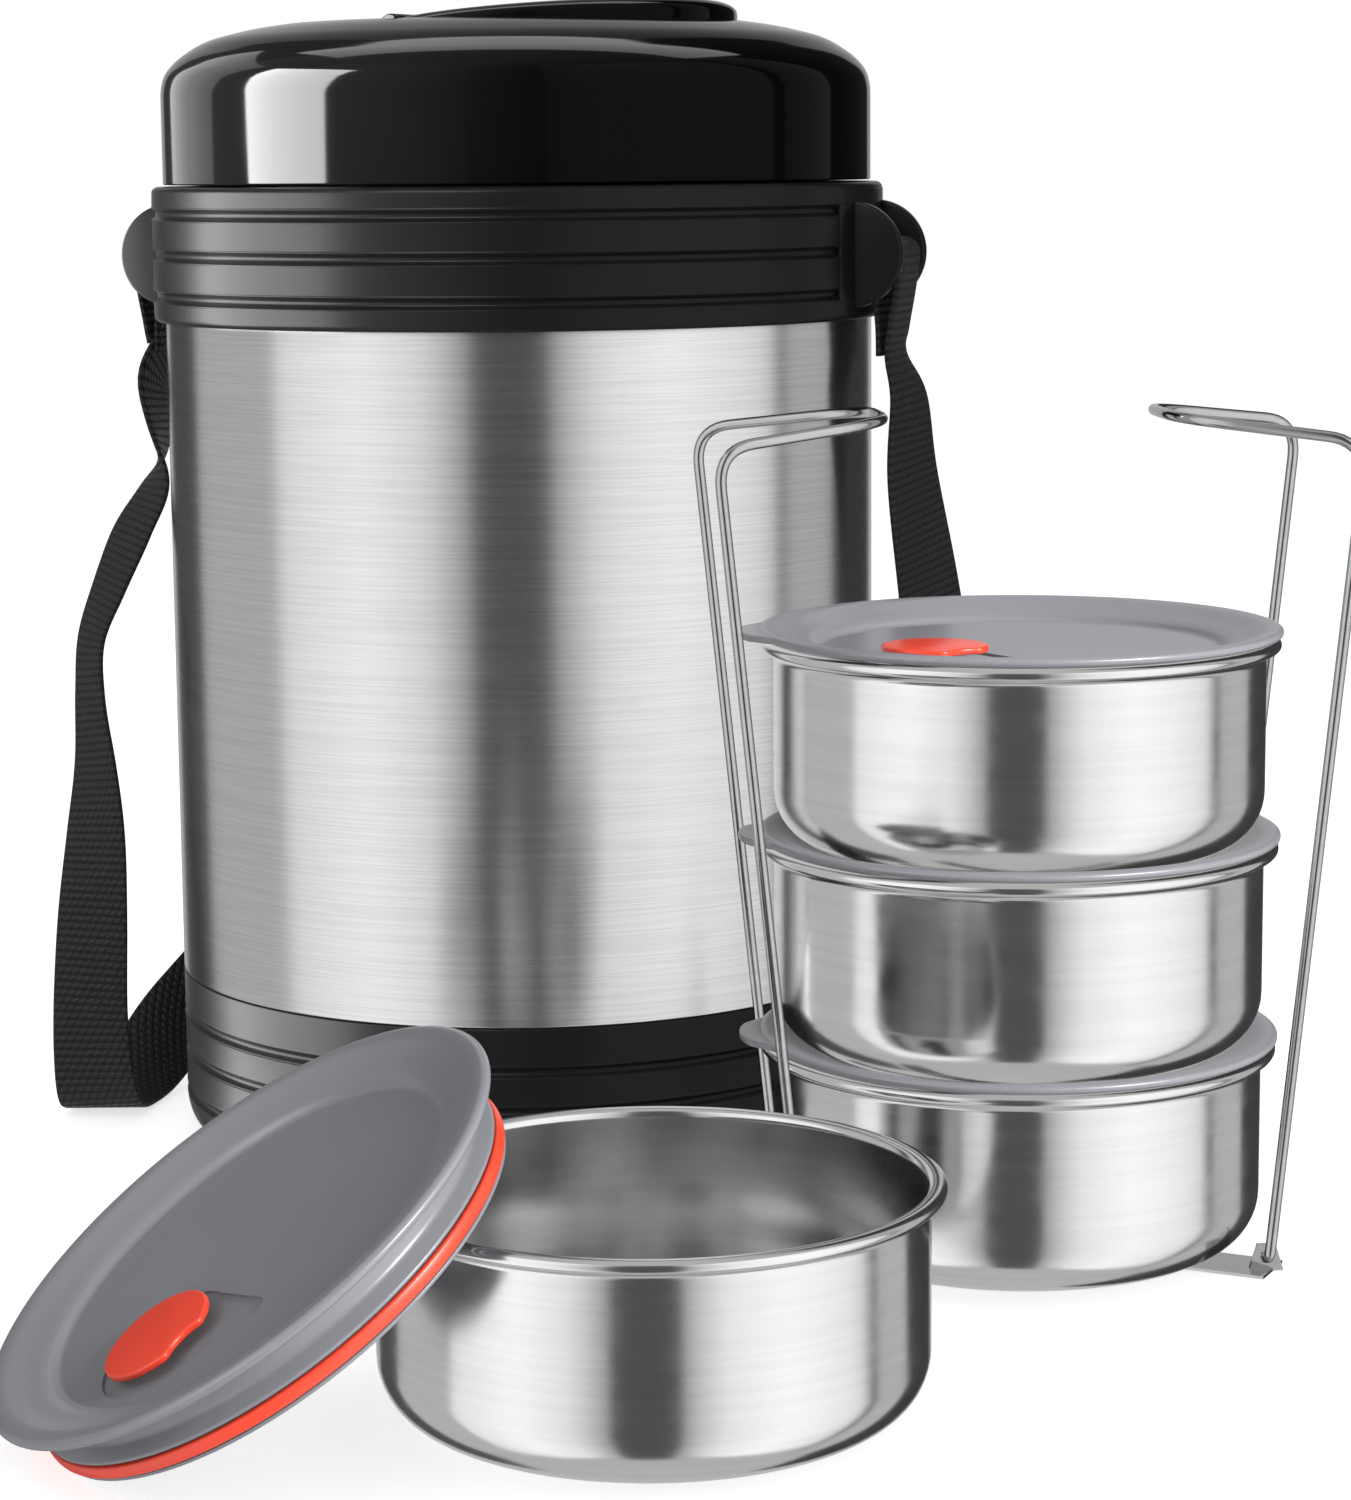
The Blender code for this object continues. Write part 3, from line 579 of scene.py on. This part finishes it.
def build_jacket_lid():
    section = [(0, 261.5), (20, 261.3, 6), (36.2, 260.6, 1.2), (37.0, 253.4, 1.0)]
    section += [(53.0, 253.4, 1.0), (53.6, 259.8, 0.9), (62, 258.6, 6), (72.3, 256.0, 6)]
    section += [(78.6, 251.8, 3.5), (81.4, 248.6, 2), (82.3, 245.0, 3), (82.3, 223.6, 0.5)]
    section += [(80.0, 223.6), (80.0, 244.0, 3), (76.0, 248.4, 2), (70.0, 250.8, 2), (0, 250.8)]
    shell = lathe("jacket_lid", section, 192, steps=6)
    place(shell, "jacket_lid", GLOSS, "lid_shell")

    section = [(0, 200.0), (60.4, 200.0, 2), (62.3, 202.0, 1), (62.3, 207.6, 0.2)]
    section += [(61.3, 207.6, 0.2), (61.3, 212.4, 0.2), (62.3, 212.4, 0.2), (62.3, 223.8)]
    section += [(79.6, 223.8), (79.6, 225.8), (60.0, 225.8), (60.0, 202.0), (0, 202.0)]
    plug = lathe("jacket_lid_plug", section)
    place(plug, "jacket_lid", BLACK, "lid_liner")

    section = [(61.7, 208.0), (62.9, 208.0, 0.2), (62.9, 209.3), (63.2, 210.0), (62.9, 210.7)]
    section += [(62.9, 212.0, 0.2), (61.7, 212.0)]
    seal = lathe("jacket_lid_seal", section)
    place(seal, "lid_seal", PALE, "lid_gasket")

    pieces = [handle_arch()]
    for angle in (HANDLE_FROM, HANDLE_FROM - 180):
        start = polar(HANDLE_IN - 0.4, angle, HANDLE_AXIS_Z)
        end = polar(HANDLE_OUT + 0.4, angle, HANDLE_AXIS_Z)
        pieces.append(cylinder("boss", start, end, BOSS_R, 40, 0.5))
    handle = merge("jacket_lid_handle", pieces)
    place(handle, "lid_handle", GLOSS, "lid_handle")


def handle_arch():
    """The handle's half ring, which rises and thickens from its pins to its middle."""
    rings = []
    for n in range(HANDLE_STEPS + 1):
        share = n / HANDLE_STEPS
        arch = math.sin(math.pi * share) ** 0.7
        under, over = 255.0 + 3.2 * arch, 259.9 + 4.6 * arch
        profile = [(HANDLE_IN, under), (HANDLE_OUT, under), (HANDLE_OUT, over - 1.6, 1.2)]
        profile += [(HANDLE_OUT - 2.2, over - 0.3, 1.2), ((HANDLE_IN + HANDLE_OUT) / 2, over, 3)]
        profile += [(HANDLE_IN + 2.2, over - 0.3, 1.2), (HANDLE_IN, over - 1.6, 1.2)]
        soft = softened(profile, 0.8, 4, closed=True)
        rings.append([polar(p.x, HANDLE_FROM + 180 * share, p.y) * MM for p in soft])
    count = len(rings[0])
    points = [p for ring in rings for p in ring]
    faces = end_faces(len(rings), count) + side_faces(len(rings), count)
    return new_object("bail", mesh_of("bail", points, faces))


# ---------------------------------------------------------------- rack and tins


def tin(name):
    """A spun tin with a rolled rim, its origin at the centre of its underside."""
    outer, inner = [], []
    hollow = TIN_FILLET - TIN_WALL
    for k in range(FILLET_STEPS + 1):
        turn = math.radians(90 * k / FILLET_STEPS)
        radius = TIN_R - TIN_FILLET * (1 - math.sin(turn))
        outer.append((radius, TIN_FILLET * (1 - math.cos(turn)), 0))
        radius = TIN_R - TIN_WALL - hollow * (1 - math.sin(turn))
        inner.append((radius, TIN_FILLET - hollow * math.cos(turn), 0))
    rim = [(TIN_R, 40.3, 1.2), (52.6, 41.3, 0.8), (53.5, 41.2, 0.5), (RIM_R, 41.9, 0.7)]
    rim += [(RIM_R, 42.9, 0.8), (53.2, TIN_H, 1), (51.3, TIN_H, 1), (TIN_R - TIN_WALL, 42.6, 1.2)]
    foot = [(0, 2.0), (36.9, 2.0, 0.8), (38.2, 0.0, 0.7)]
    section = foot + outer + rim + inner[::-1] + [(38.7, TIN_WALL, 0.7), (37.4, 2.8, 0.8), (0, 2.8)]
    return lathe(name, section, 144, 0.4, 3)


def valve_outline(centre, toward_hinge):
    """A round plate with a rounded bite for a finger, opposite its hinge."""
    bite = -toward_hinge * (VALVE_R + BITE_OUT)
    outline = []
    for angle in range(0, 360, 4):
        point = polar(VALVE_R, angle)
        if (point - bite).length < BITE_R:
            point = bite + (point - bite).normalized() * BITE_R
        outline.append((centre + point)[:2])
    return [tuple(p) for p in rounded_loop(outline)]


def rounded_loop(outline):
    """Each corner of a closed outline eased toward its neighbours."""
    count = len(outline)
    points = [Vector(p) for p in outline]
    for _ in range(3):
        points = [
            (points[n - 1] + 2 * points[n] + points[(n + 1) % count]) / 4 for n in range(count)
        ]
    return points


def pocket_outline(centre):
    """The round pocket under the valve, with its narrow end for a fingertip."""
    tip = centre + polar(POCKET_TIP, POCKET_ANGLE)
    outline = [(centre + polar(POCKET_R, POCKET_ANGLE + a))[:2] for a in range(48, 313, 6)]
    outline += [(tip + polar(POCKET_TIP_R, POCKET_ANGLE + a))[:2] for a in range(-60, 61, 12)]
    return outline


def valve_frame():
    """The valve's centre, the way to its hinge, the way along the hinge, and the hinge's middle."""
    centre = polar(VALVE_AT, VALVE_ANGLE)
    toward_hinge, along = polar(1, HINGE_ANGLE), polar(1, HINGE_ANGLE - 90)
    hinge = centre + toward_hinge * (VALVE_R - 1.0) + Vector((0, 0, HINGE_Z))
    return centre, toward_hinge, along, hinge


def tin_lid_mesh():
    """A lid with its seal groove, stepped slope, finger pocket, hinge groove and thumb tab."""
    section = [(0, LID_FLOOR), (41.6, LID_FLOOR, 0.9), (43.0, -1.3, 0.7), (44.6, -0.6, 0.5)]
    section += [(47.3, 0.3, 1.0), (51.2, 1.9, 1.2), (53.6, FLANGE, 0.9), (FLANGE_R, 1.5, 0.5)]
    section += [(FLANGE_R, 0.6, 0.5), (53.8, 0, 0.4), (48.4, 0, 0.5), (46.9, -1.6, 0.8)]
    section += [(46.9, -5.4, 0.8), (49.6, -7.4, 0.5), (49.6, -8.0, 0.25), (48.2, -8.2, 0.1)]
    section += [(48.2, -11.2, 0.1), (49.3, -11.4, 0.15), (49.3, -12.1, 0.3), (46.3, -12.1, 0.4)]
    section += [(45.7, -2.8, 0.8), (43.4, -3.4, 0.6), (41.4, -4.6, 0.6), (0, -4.6)]
    body = lathe("tin_lid", section, 144, 0.4, 4)
    centre, _, along, hinge = valve_frame()
    carve(body, slab("pocket", pocket_outline(centre), LID_FLOOR - 0.6, LID_FLOOR + 3))
    carve(body, cylinder("groove", hinge - along * 5.4, hinge + along * 5.4, 1.3, 32))
    below, above = centre + Vector((0, 0, -12)), centre + Vector((0, 0, -1))
    carve(body, cylinder("vent", below, above, 2.2, 40))
    outer = [polar(TAB_R - (a / 8) ** 2, 180 + a)[:2] for a in (8, 6, 4, 2, 0, -2, -4, -6, -8)]
    inner = [polar(54.0, 180 + a)[:2] for a in (-15, -8, 0, 8, 15)]
    return mesh_only(merge("tin_lid", [body, slab("tab", outer + inner, 0.3, 1.8, 0.4)]))


def valve_mesh():
    """A valve: its plate, the stub that closes the vent, and its hinge's barrel and web."""
    centre, toward_hinge, along, hinge = valve_frame()
    outline = valve_outline(centre, toward_hinge)
    pieces = [slab("disc", outline, LID_FLOOR + 1.4, LID_FLOOR + 2.8, 0.5, 4)]
    below, above = centre + Vector((0, 0, -3.9)), centre + Vector((0, 0, -0.6))
    pieces.append(cylinder("stub", below, above, 1.7, 24))
    pieces.append(cylinder("barrel", hinge - along * 4.9, hinge + along * 4.9, 1.0, 24, 0.25))
    corners = ((-0.7, -4.0), (0.7, -4.0), (0.7, 4.0), (-0.7, 4.0))
    web = [(hinge + toward_hinge * a + along * b)[:2] for a, b in corners]
    pieces.append(slab("web", web, HINGE_Z, LID_FLOOR + 2.0))
    return mesh_only(merge("valve", pieces))


def leaning():
    """Where the fourth lid leans: tilted on the open tin's rim, and turned a little."""
    tilt = math.radians(LEAN_TILT)
    downhill = polar(math.cos(tilt), LEAN_DOWNHILL, -math.sin(tilt))
    up = polar(math.sin(tilt), LEAN_DOWNHILL, math.cos(tilt))
    turn = math.radians(LEAN_TAB)
    x_axis = -downhill * math.cos(turn) - up.cross(downhill) * math.sin(turn)
    lean = Matrix((x_axis, up.cross(x_axis), up)).transposed().to_4x4()
    lean.translation = (Vector(LEAN_POINT) - up * FLANGE / 2) * MM
    return lean


def build_tins():
    rack = Matrix.Translation((RACK_X * MM, RACK_Y * MM, 0))
    rack = rack @ Matrix.Rotation(math.radians(RACK_YAW), 4, "Z")
    tin_data = mesh_only(tin("tin_mesh"))
    lid_data, valve_data = tin_lid_mesh(), valve_mesh()
    section = [(48.5, -11.0), (49.9, -11.0, 0.5), (50.1, -9.7, 0.8)]
    section += [(49.9, -8.45, 0.5), (48.5, -8.45)]
    ring_data = mesh_only(lathe("seal", section, 144))
    for number in (1, 2, 3, 4):
        if number < 4:
            low = FIRST_TIN_Z + PITCH * (number - 1)
            tin_at = rack @ Matrix.Translation((0, 0, low * MM))
            lid_at = rack @ Matrix.Translation((0, 0, (low + TIN_H + GAP) * MM))
        else:
            tin_at = Matrix.Translation(Vector(OPEN_TIN) * MM)
            lid_at = leaning()
        lid_body = f"tin_lid_{number}"
        valve_body = f"vent_{number}" if number > 2 else lid_body
        can = new_object(f"tin_{number}_spun", tin_data)
        place(can, f"tin_{number}", TIN_STEEL, f"container_{number}", tin_at)
        cover = new_object(f"tin_lid_{number}_moulded", lid_data)
        place(cover, lid_body, GREY, f"lid_{number}", lid_at)
        valve = new_object(f"tin_valve_{number}", valve_data)
        place(valve, valve_body, RED, f"valve_{number}", lid_at)
        seal = new_object(f"tin_seal_{number}", ring_data)
        place(seal, lid_body, RED, f"gasket_{number}", lid_at)

    top = LOOP_TOP_Z - LOOP_FOOT_Z
    half = [(0, 25.8, 0), (0, 31.0, 0), (0, 31.0, top), (-36.0, 17.5, top + 0.6)]
    corners = [(x, -y, z) for x, y, z in half] + half[::-1]
    path = rounded_path(corners, (2.4, 8, 12, 12, 8, 2.4))
    for side, way in (("left", -1), ("right", 1)):
        wire = tube(f"loop_{side}_wire", [(way * p.x, p.y, p.z) for p in path], WIRE_R)
        foot = Matrix.Translation((way * LOOP_X * MM, 0, LOOP_FOOT_Z * MM))
        at = rack @ foot @ Matrix.Rotation(math.radians(way * LOOP_LEAN), 4, "Y")
        place(wire, f"loop_{side}", WIRE_STEEL, f"rack_wire_{side}", at)


# ---------------------------------------------------------------- strap


def smooth_path(keys, steps):
    """A smooth curve through the keys, each a place and the direction across the strap there."""
    out = []
    for n in range(len(keys) - 1):
        near = [keys[min(max(k, 0), len(keys) - 1)] for k in (n - 1, n, n + 1, n + 2)]
        for k in range(steps):
            t = k / steps
            mixed = []
            for p, q, r, s in zip(*near):
                bend = (r - p) * t + (2 * p - 5 * q + 4 * r - s) * t**2
                mixed.append((2 * q + bend + (3 * q - p - 3 * r + s) * t**3) / 2)
            out.append(mixed)
    out.append(keys[-1])
    return out


def strap_end(at, wide_at):
    """The keys of the strap's turn over the bar at one lug."""
    inside = ((88.2, 184), (88.1, 190), (87.5, 198), (87.3, 206), (88.0, 208.8), (90.3, 210.0))
    outside = ((92.6, 208.8), (93.3, 206), (92.2, 198), (90.8, 190), (90.2, 184))
    return [(polar(radius, at, z), polar(1, wide_at)) for radius, z in inside + outside]


def strap_keys():
    """The strap's route in millimetres: down its left leg, behind the jacket, up its right leg."""
    left = [((-89.3, 20.5, 176), (-0.22, -0.98, 0)), ((-87.8, 19, 162), (-0.02, -1, 0))]
    left += [((-89.4, 17, 151.5), (0.42, -0.91, 0)), ((-94.8, 14.5, 141), (0.55, -0.83, 0))]
    left += [((-100.4, 12.5, 128), (0.5, -0.87, 0)), ((-104.9, 11, 115.5), (0.42, -0.91, 0))]
    left += [((-105.4, 9, 102), (0.46, -0.89, 0)), ((-104.3, 6.5, 85), (0.6, -0.8, 0))]
    left += [((-104.3, 3.5, 68), (0.78, -0.62, 0)), ((-105.2, 0, 48), (0.9, -0.44, 0))]
    left += [((-105.9, -2.5, 28), (0.94, -0.34, 0)), ((-105.6, -3.4, 14), (0.97, -0.22, 0))]
    left += [((-104.8, -1, 4.6), (1, -0.06, 0)), ((-103.5, 6, 1.4), (1, 0, 0))]
    left += [((-101.5, 15, 1.5), (1, -0.1, 0))]
    left += [((-97, 27, 6.5), (0.92, -0.2, -0.34)), ((-88, 43, 18), (0.75, 0, -0.66))]
    behind = [((-68, 68, 36), (0.5, 0, -0.86)), ((-38, 92, 51), (0.25, -0.05, -0.97))]
    behind += [((0, 101, 56), (0, -0.08, -1)), ((38, 93, 49), (-0.25, -0.05, -0.97))]
    behind += [((70, 71, 32), (-0.5, 0, -0.86))]
    right = [((90, 47, 15), (-0.75, 0, -0.66)), ((99, 31, 5.5), (-0.95, -0.1, -0.3))]
    right += [((102.5, 16, 1.4), (-1, -0.05, 0)), ((104, 6, 1.5), (-1, 0, 0))]
    right += [((105, 0.5, 4.4), (-1, 0, 0)), ((105.6, -2.5, 14), (-1, -0.1, 0))]
    right += [((105.5, -5, 34), (-1, -0.2, 0)), ((103.5, -9, 64), (-0.93, -0.37, 0))]
    right += [((99.4, -14.5, 98), (-0.82, -0.57, 0)), ((94.8, -19.5, 130), (-0.72, -0.69, 0))]
    right += [((90.8, -23.4, 156), (-0.6, -0.8, 0)), ((89.8, -24.8, 174), (-0.45, -0.89, 0))]
    middle = [(Vector(p), Vector(w).normalized()) for p, w in left + behind + right]
    first = strap_end(LUG_ANGLE + 180, LUG_ANGLE + 270)
    last = strap_end(LUG_ANGLE, LUG_ANGLE - 90)
    return first + middle + last[::-1]


def build_strap():
    path = smooth_path(strap_keys(), STRAP_STEPS)
    edge = [(-1.0, 0.0), (-0.985, 0.62), (-0.93, 0.95)]
    profile = edge + [(-0.5, 1.0), (0.0, 1.0), (0.5, 1.0), (0.93, 0.95), (0.985, 0.62)]
    profile += [(-a, -b) for a, b in profile]
    points, lengths = [], [0.0]
    for n, (centre, across) in enumerate(path):
        before, after = path[max(n - 1, 0)][0], path[min(n + 1, len(path) - 1)][0]
        along = (after - before).normalized()
        across = (across - along * across.dot(along)).normalized()
        face = along.cross(across)
        if n:
            lengths.append(lengths[-1] + (centre - path[n - 1][0]).length)
        for a, b in profile:
            beside, above = across * a * STRAP_WIDE / 2, face * b * STRAP_THICK / 2
            points.append((centre + beside + above) * MM)
    count = len(profile)
    faces = side_faces(len(path), count) + end_faces(len(path), count)
    mesh = mesh_of("strap", points, faces)
    band = mesh.uv_layers.new(name="band")
    for polygon in mesh.polygons:
        for loop in polygon.loop_indices:
            vertex = mesh.loops[loop].vertex_index
            a = profile[vertex % count][0]
            band.data[loop].uv = (a * STRAP_WIDE / 2 * MM, lengths[vertex // count] * MM)
    strap = new_object("shoulder_strap_webbing", mesh)
    place(strap, "jacket", WEBBING, "shoulder_strap")


# ---------------------------------------------------------------- studio


def camera():
    data = bpy.data.cameras.new("camera")
    data.lens = LENS
    data.sensor_width = SENSOR
    data.clip_end = 50
    obj = new_object("camera", data)
    down = Matrix.Rotation(math.radians(90 - CAMERA_DOWN), 4, "X")
    obj.matrix_world = Matrix.Translation(CAMERA_AT) @ down @ Matrix.Rotation(CAMERA_ROLL, 4, "Z")
    bpy.context.scene.camera = obj


def area_light(name, azimuth, distance, height, size, power, receivers, aim=AIM):
    """A soft box at an azimuth from the viewer's direction, which lights only its receivers."""
    turn = math.radians(azimuth)
    x, y = STUDIO_CENTRE
    at = Vector((x + distance * math.sin(turn), y - distance * math.cos(turn), height))
    data = bpy.data.lights.new(name, "AREA")
    data.shape = "RECTANGLE"
    data.size, data.size_y = size
    data.energy = power
    obj = new_object(name, data)
    obj.location = at
    obj.rotation_euler = (Vector(aim) - at).to_track_quat("-Z", "Y").to_euler()
    obj.visible_camera = False
    obj.light_linking.receiver_collection = receivers
    obj.light_linking.blocker_collection = receivers


def lit_by(name, materials):
    """A collection of the pieces that have one of these materials, for a light to fall on."""
    group = bpy.data.collections.new(name)
    for obj in bpy.context.scene.objects:
        if obj.type == "MESH" and any(m in materials for m in obj.data.materials):
            group.objects.link(obj)
    return group


def card(name, azimuth, distance, wide, levels, low=CARD_LOW, high=CARD_HIGH):
    """A card that only reflections see, at an azimuth from the viewer's direction.

    Its levels of brightness are graded along world X.
    """
    turn = math.radians(azimuth)
    way = Vector((math.sin(turn), -math.cos(turn), 0))
    side = Vector((math.cos(turn), math.sin(turn), 0))
    middle = Vector((*STUDIO_CENTRE, 0)) + way * distance
    corners = [middle - side * wide / 2, middle + side * wide / 2]
    points = [(*c[:2], low) for c in corners] + [(*c[:2], low + high) for c in reversed(corners)]
    obj = new_object(name, mesh_of(name, points, [(0, 1, 2, 3)], smooth=False))
    material = bpy.data.materials.new(name)
    material.use_nodes = True
    tree = material.node_tree
    tree.nodes.clear()
    glow = tree.nodes.new("ShaderNodeEmission")
    glow.inputs["Strength"].default_value = max(levels)
    glow.inputs["Color"].default_value = (1, 1, 1, 1)
    if len(levels) > 1:
        here = tree.nodes.new("ShaderNodeTexCoord")
        parts = tree.nodes.new("ShaderNodeSeparateXYZ")
        ramp = tree.nodes.new("ShaderNodeValToRGB")
        stops = ramp.color_ramp.elements
        while len(stops) < len(levels):
            stops.new(0.5)
        for n, level in enumerate(levels):
            share = level / max(levels)
            stops[n].position = n / (len(levels) - 1)
            stops[n].color = (share, share, share, 1)
        tree.links.new(here.outputs["Generated"], parts.inputs[0])
        tree.links.new(parts.outputs["X"], ramp.inputs["Fac"])
        tree.links.new(ramp.outputs["Color"], glow.inputs["Color"])
    out = tree.nodes.new("ShaderNodeOutputMaterial")
    tree.links.new(glow.outputs[0], out.inputs[0])
    obj.data.materials.append(material)
    obj.visible_camera = False
    obj.visible_diffuse = False
    obj.visible_shadow = False
    obj.visible_transmission = False
    return obj


def studio():
    scene = bpy.context.scene
    scene.view_settings.view_transform = "Standard"
    world = bpy.data.worlds.new("studio")
    scene.world = world
    world.use_nodes = True
    sky = world.node_tree.nodes["Background"]
    sky.inputs["Color"].default_value = (1, 1, 1, 1)
    sky.inputs["Strength"].default_value = WORLD_LIGHT

    m = Nodes("floor", (0.9, 0.9, 0.9), 0.0, 0.7, Specular_IOR_Level=0.1)
    m.set("Emission Color", (1, 1, 1, 1))
    m.set("Emission Strength", FLOOR_LIGHT)
    bpy.ops.mesh.primitive_plane_add(size=FLOOR_SIZE, location=(0, 0, 0))
    floor = bpy.context.object
    floor.name = "floor"
    floor.data.materials.append(m.material)
    floor.visible_glossy = False
    back = card("backdrop", 180, 5.0, 12, (1.0,), -1.0, 8)
    back.visible_camera = True
    back.visible_glossy = False
    for obj in scene.objects:
        if obj.name.startswith(UNREFLECTED):
            obj.visible_glossy = False

    dark, woven = lit_by("dark", [BLACK]), lit_by("woven", [WEBBING])
    coloured = lit_by("coloured", [GREY, RED, PALE, FOAM])
    open_floor, glossy = lit_by("open_floor", [m.material]), lit_by("glossy", [GLOSS])
    # name, azimuth, distance, height, size, power, what it lights, where it aims
    area_light("key", -88, 0.95, 0.1, (1.0, 0.8), 36, dark)
    area_light("high", -30, 1.1, 1.0, (0.8, 0.5), 12, dark)
    area_light("weave", -40, 1.0, 0.7, (0.25, 0.25), 5, woven)
    area_light("right", 50, 1.2, 0.75, (0.5, 0.5), 30, coloured)
    area_light("left", -62, 1.2, 0.7, (0.6, 0.6), 3, coloured)
    area_light("top", 0, 0.0, 1.6, (1.2, 1.2), 8, open_floor)
    area_light("strip", -80, 1.0, 0.5, (0.6, 0.9), 190, glossy, (0, 0, 0.24))
    area_light("edge", -128, 1.0, 0.5, (0.6, 0.9), 6, glossy, (0, 0, 0.24))
    area_light("crown", 0, -0.5, 1.5, (1.6, 0.5), 22, glossy, (0, 0, 0.26))
    # name, azimuth, distance, width, brightness from its low X to its high X
    card("dark_front", -2.5, 1.3, 0.62, (0.1,))
    card("white_left", -53, 1.3, 1.92, (1.05, 1.17, 1.33, 1.08, 0.45))
    card("white_right", 52, 1.3, 2.2, (0.5, 1.15, 1.36, 1.2, 0.95))
    card("line_left", -88, 1.28, 0.13, (0.55,))
    card("line_right", 96.5, 1.28, 0.11, (0.2,))
    card("dark_left", -140, 1.3, 0.65, (0.08,))
    card("dark_right", 142, 1.3, 0.86, (0.05,))


def finish_cad_nodes():
    """Gives the CAD nodes whose shape is kept a material of their own."""
    for name, material in (
        ("foam_insulation", FOAM),
        ("lid_foam", FOAM),
        ("lid_handle_pin_1", WIRE_STEEL),
        ("lid_handle_pin_2", WIRE_STEEL),
        ("rack_base", WIRE_STEEL),
    ):
        mesh = frame["nodes"][name].data
        mesh.materials.clear()
        mesh.materials.append(material)


camera()
build_strap()
build_jacket()
build_jacket_lid()
build_tins()
finish_cad_nodes()
studio()
